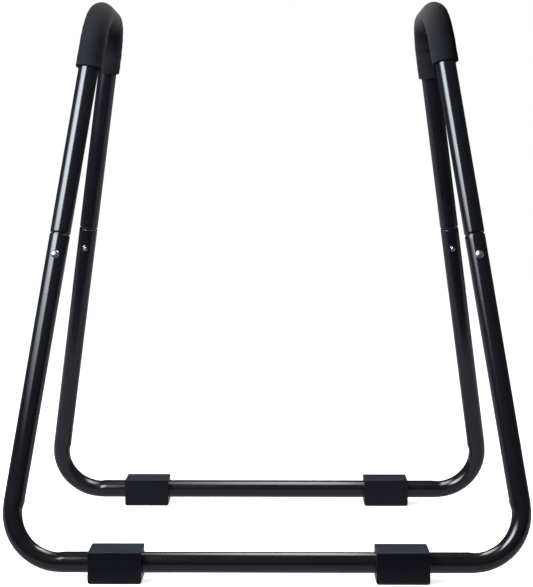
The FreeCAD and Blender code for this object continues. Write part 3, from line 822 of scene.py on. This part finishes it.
def hexagon_nut(end, side):
    """Both faces chamfered at the corners and countersunk at the hole."""
    sixth = math.pi / 3
    angles = round_angles(NUT_SIDES)
    hexagon = np.minimum(NUT_HALF / np.cos(angles % sixth - sixth / 2), NUT_CORNER * NUT_HALF)

    def chamfered(height):
        return np.minimum(hexagon, NUT_FACE_R + height * MM / math.tan(NUT_CHAMFER))

    rings = [(NUT_FACE + NUT_SINK, NUT_BORE), (NUT_FACE, NUT_BORE + NUT_SINK),
             (NUT_FACE, NUT_FACE_R - NUT_FACE_EDGE)]
    rings += [(NUT_FACE + height * MM, chamfered(height)) for height in NUT_CHAMFER_RINGS]
    rings += [(WASHER_FACE - height * MM, chamfered(height)) for height in NUT_CHAMFER_RINGS[::-1]]
    rings += [(WASHER_FACE, NUT_BORE + NUT_SINK), (WASHER_FACE - NUT_SINK, NUT_BORE)]
    verts, faces = turned(bolt_axes(end, side), rings, NUT_SIDES, True)
    new_piece(f"{end}_{side}_nut", verts, faces, "frame", SHADED_NUT_ZINC,
              f"{end}_{side}_joint_nut", SHARP_NUT)


# ---------------------------------------------------------------- the object

for end in ("front", "rear"):
    base_tube(end)
    for side in ("left", "right"):
        rubber_foot(end, side)
        carriage_bolt(end, side)
        saddle_washer(end, side)
        hexagon_nut(end, side)
for side in ("left", "right"):
    handle_tube(side)
    foam_grip(side)

# ---------------------------------------------------------------- stage, lights and camera

CAMERA_PLACE = (0.01996, -2.5249, bar_z + 0.5761)
CAMERA_SENSOR = 36
CAMERA_LENS = 92.0
CAMERA_CLIP = 0.05
CAMERA_PITCH = math.radians(4.211)
CAMERA_YAW = 0.0089

FLOOR_HALF = 6.0
FLOOR_GREY = 0.86
FLOOR_ROUGH = 0.9
FLOOR_SPECULAR = 0.1
FLOOR_GLOW = (0.55, 1.3, 0.80, 1.05)    # distances from the middle, and the glow at each
BOUNCE_DROP = 0.001
BOUNCE_COLOUR, BOUNCE_STRENGTH = (0.87, 0.88, 1), 0.62
# a fade is an axis, where it starts, where it is full and the share left before that
BOUNCE_FADES = (("Y", -0.46, -0.30, 0.12),)
SIDE_ENDS = ((-0.68, -1.52), (-1.60, -0.268))
SIDE_HEIGHTS = (0.4, 2.2)
SIDE_COLOUR, SIDE_STRENGTH = (0.88, 0.94, 1.0), 19.0
SIDE_FADES = (("Z", 0.47, 1.15, 0), ("X", -0.66, -0.80, 0.2), ("X", -1.58, -1.15, 0))
TOP_X, TOP_Y, TOP_Z = (-0.45, 0.28), (-0.13, 0.70), 1.03
TOP_COLOUR, TOP_STRENGTH = (1.0, 0.985, 0.97), 9.0
TOP_FADES = (("X", -0.45, 0.08, 0), ("X", 0.28, 0.17, 0))
WORLD_COLOUR = (0.84, 0.88, 1.0)
WORLD_DEPTH = (-0.6, 0.8, 0.16, 0.10)   # direction to the front and to the rear, and the light from each


def plane(name, corners, material, **seen):
    """Stage card; seen says which rays it is visible to."""
    mesh = bpy.data.meshes.new(name)
    mesh.from_pydata(corners, [], [(0, 1, 2, 3)])
    mesh.materials.append(material)
    card = bpy.data.objects.new(name, mesh)
    bpy.context.scene.collection.objects.link(card)
    for key, shown in seen.items():
        setattr(card, f"visible_{key}", shown)


def rectangle(x, y, z):
    return [(x[0], y[0], z), (x[1], y[0], z), (x[1], y[1], z), (x[0], y[1], z)]


def glow(name, colour, strength, fades):
    """Emission that fades along the axes."""
    material = bpy.data.materials.new(name)
    material.use_nodes = True
    tree = material.node_tree
    nodes, links = tree.nodes, tree.links
    nodes.clear()
    out = nodes.new("ShaderNodeOutputMaterial")
    emit = nodes.new("ShaderNodeEmission")
    emit.inputs["Color"].default_value = (*colour, 1)
    links.new(emit.outputs[0], out.inputs["Surface"])
    place = components(tree, nodes.new("ShaderNodeNewGeometry").outputs["Position"])
    level = None
    for axis, start, full, left in fades:
        both = nodes.new("ShaderNodeMath")
        both.operation = "MULTIPLY"
        both.inputs[0].default_value = strength
        if level is not None:
            links.new(level, both.inputs[0])
        links.new(map_range(tree, place[axis], start, full, left, 1, smooth=True), both.inputs[1])
        level = both.outputs["Value"]
    links.new(level, emit.inputs["Strength"])
    return material


def pale_floor():
    """White floor that glows more towards a far white backdrop, so that it has no horizon."""
    material = bpy.data.materials.new("pale_floor")
    material.use_nodes = True
    tree = material.node_tree
    bsdf = tree.nodes["Principled BSDF"]
    bsdf.inputs["Base Color"].default_value = (FLOOR_GREY, FLOOR_GREY, FLOOR_GREY, 1)
    bsdf.inputs["Roughness"].default_value = FLOOR_ROUGH
    bsdf.inputs["Specular IOR Level"].default_value = FLOOR_SPECULAR
    bsdf.inputs["Emission Color"].default_value = (1, 1, 1, 1)
    reach = tree.nodes.new("ShaderNodeVectorMath")
    reach.operation = "LENGTH"
    tree.links.new(tree.nodes.new("ShaderNodeNewGeometry").outputs["Position"], reach.inputs[0])
    level = map_range(tree, reach.outputs["Value"], *FLOOR_GLOW)
    tree.links.new(level, bsdf.inputs["Emission Strength"])
    return material


def studio_world():
    """White behind the object, and a dim room, paler to the front, for everything else."""
    world = bpy.data.worlds.new("studio")
    world.use_nodes = True
    tree = world.node_tree
    nodes, links = tree.nodes, tree.links
    nodes.clear()
    out = nodes.new("ShaderNodeOutputWorld")
    mix = nodes.new("ShaderNodeMixShader")
    dim = nodes.new("ShaderNodeBackground")
    dim.inputs["Color"].default_value = (*WORLD_COLOUR, 1)
    sky = components(tree, nodes.new("ShaderNodeTexCoord").outputs["Generated"])
    links.new(map_range(tree, sky["Y"], *WORLD_DEPTH), dim.inputs["Strength"])
    white = nodes.new("ShaderNodeBackground")
    white.inputs["Color"].default_value = (1, 1, 1, 1)
    links.new(nodes.new("ShaderNodeLightPath").outputs["Is Camera Ray"], mix.inputs["Fac"])
    links.new(dim.outputs[0], mix.inputs[1])
    links.new(white.outputs[0], mix.inputs[2])
    links.new(mix.outputs[0], out.inputs["Surface"])
    return world


floor_span = (-FLOOR_HALF, FLOOR_HALF)
plane("floor", rectangle(floor_span, floor_span, 0), pale_floor(), diffuse=False, glossy=False)
plane("floor_bounce", rectangle(floor_span, floor_span, -BOUNCE_DROP),
      glow("floor_bounce", BOUNCE_COLOUR, BOUNCE_STRENGTH, BOUNCE_FADES), camera=False, shadow=False)
near_end, far_end = SIDE_ENDS
side_low, side_high = SIDE_HEIGHTS
plane("side_softbox",
      [(*near_end, side_low), (*far_end, side_low), (*far_end, side_high), (*near_end, side_high)],
      glow("side_softbox", SIDE_COLOUR, SIDE_STRENGTH, SIDE_FADES), camera=False, shadow=False)
first_corner, *other_corners = rectangle(TOP_X, TOP_Y, TOP_Z)    # reversed, it faces down
plane("top_softbox", [first_corner, *reversed(other_corners)],
      glow("top_softbox", TOP_COLOUR, TOP_STRENGTH, TOP_FADES), camera=False, shadow=False)

bpy.context.scene.world = studio_world()
bpy.context.scene.view_settings.view_transform = "Standard"

camera_data = bpy.data.cameras.new("camera")
camera_data.sensor_width = CAMERA_SENSOR
camera_data.lens = CAMERA_LENS
camera_data.clip_start = CAMERA_CLIP
camera = bpy.data.objects.new("camera", camera_data)
bpy.context.scene.collection.objects.link(camera)
camera.location = CAMERA_PLACE
camera.rotation_euler = (math.pi / 2 - CAMERA_PITCH, 0, CAMERA_YAW)
bpy.context.scene.camera = camera
